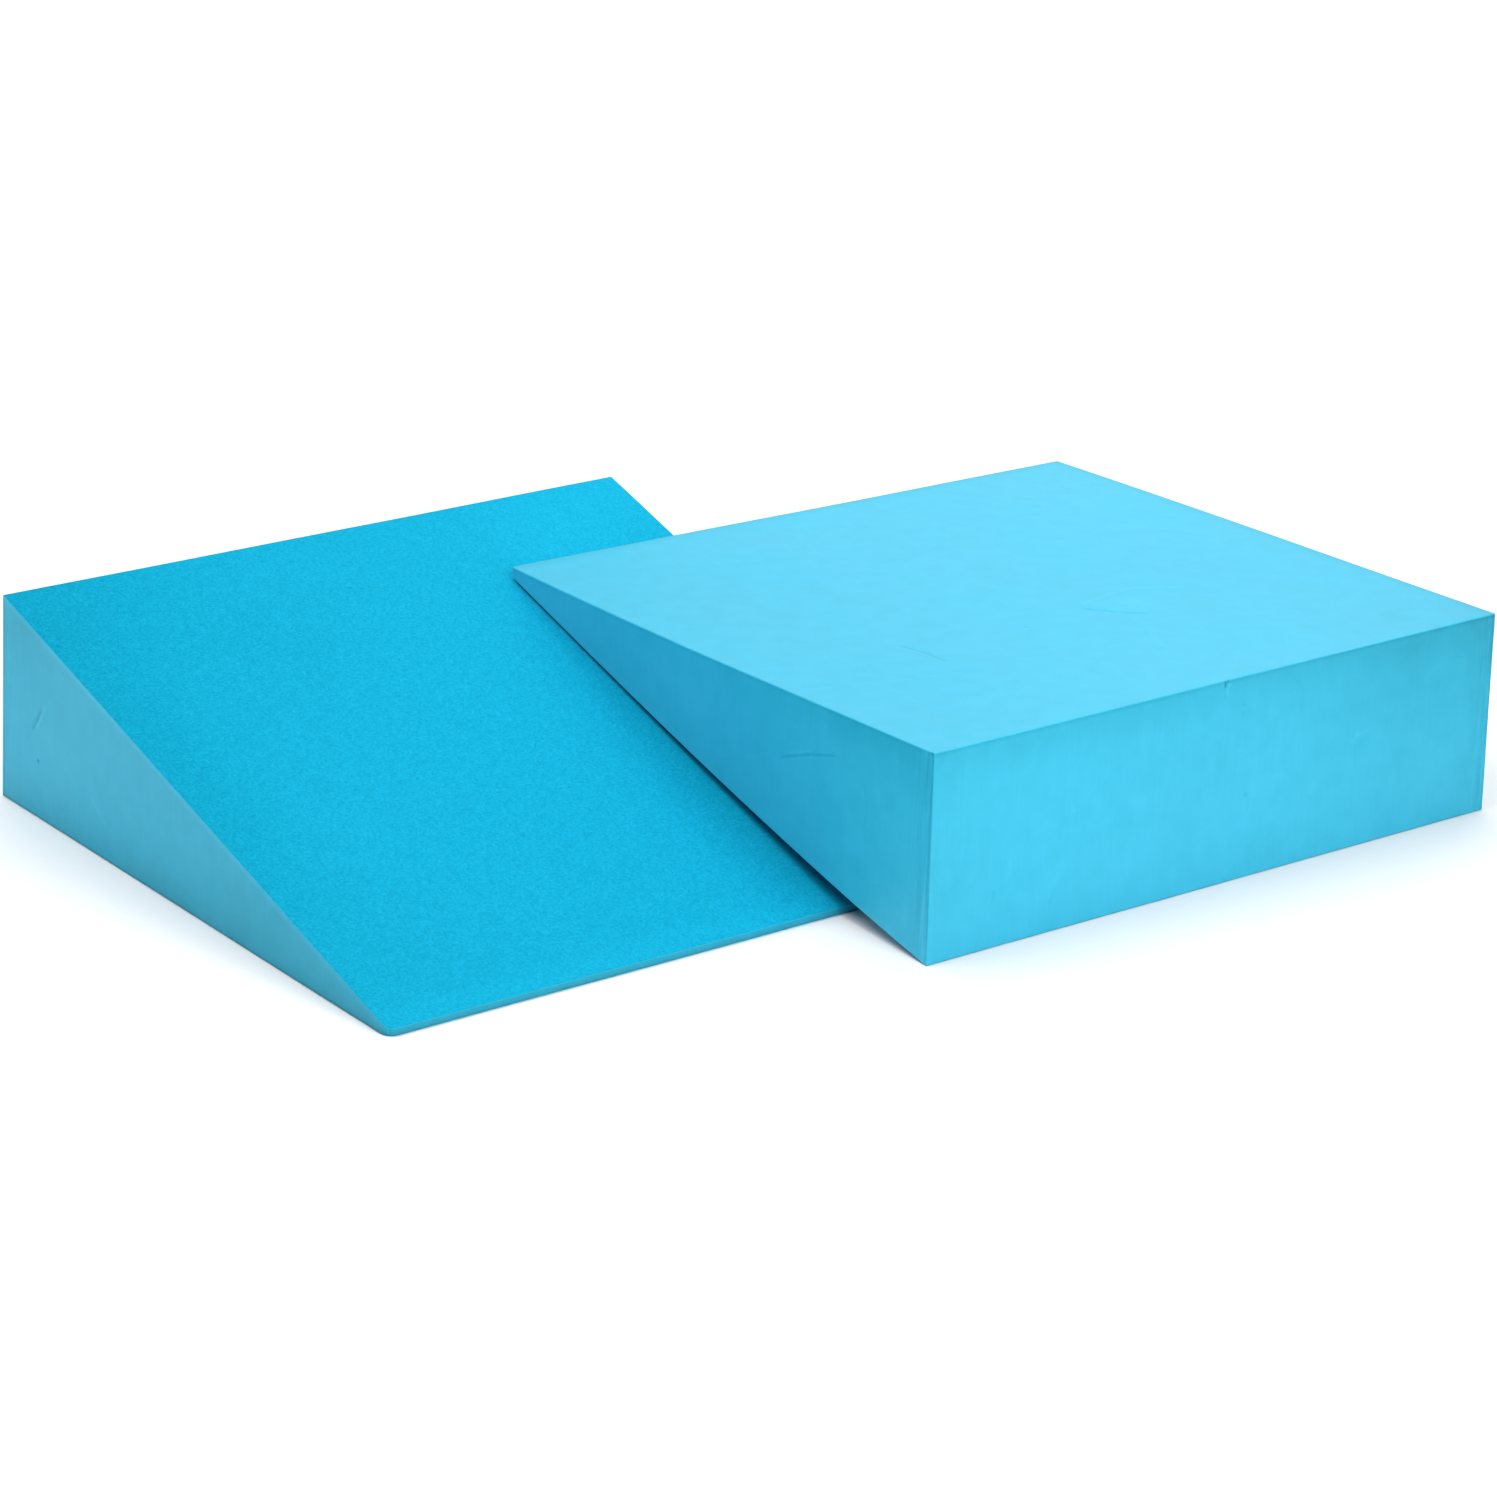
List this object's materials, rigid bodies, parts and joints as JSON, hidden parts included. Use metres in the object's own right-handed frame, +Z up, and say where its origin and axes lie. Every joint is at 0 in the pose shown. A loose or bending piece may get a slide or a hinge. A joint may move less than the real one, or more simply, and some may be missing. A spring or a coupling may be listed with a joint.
{
  "type": "exercise wedge set",
  "caption": "Solid foam exercise wedges with a flat base, a long slope and a thin front lip; one stands slope up and its twin lies turned over against it.",
  "frame": {"origin": "on the floor, under the middle of the pair's common outline", "axes": "+X along the thin edges, from the lower wedge towards the turned-over one; +Y from the lower wedge's thin lip towards its thick end; +Z up"},
  "size_m": [0.4768, 0.3026, 0.0798],
  "materials": {
    "foam": "matte closed-cell EVA foam: smooth moulded skin on the base, ends and sides, fine cut grain on the slope"
  },
  "bodies": {
    "lower": {"lower_wedge": "foam"},
    "upper": {"upper_wedge": "foam"}
  },
  "joints": [
    {"name": "upper_lift", "type": "slide", "parent": "lower", "child": "upper", "axis": [0, 0, 1], "range_m": [0, 0.25]}
  ]
}
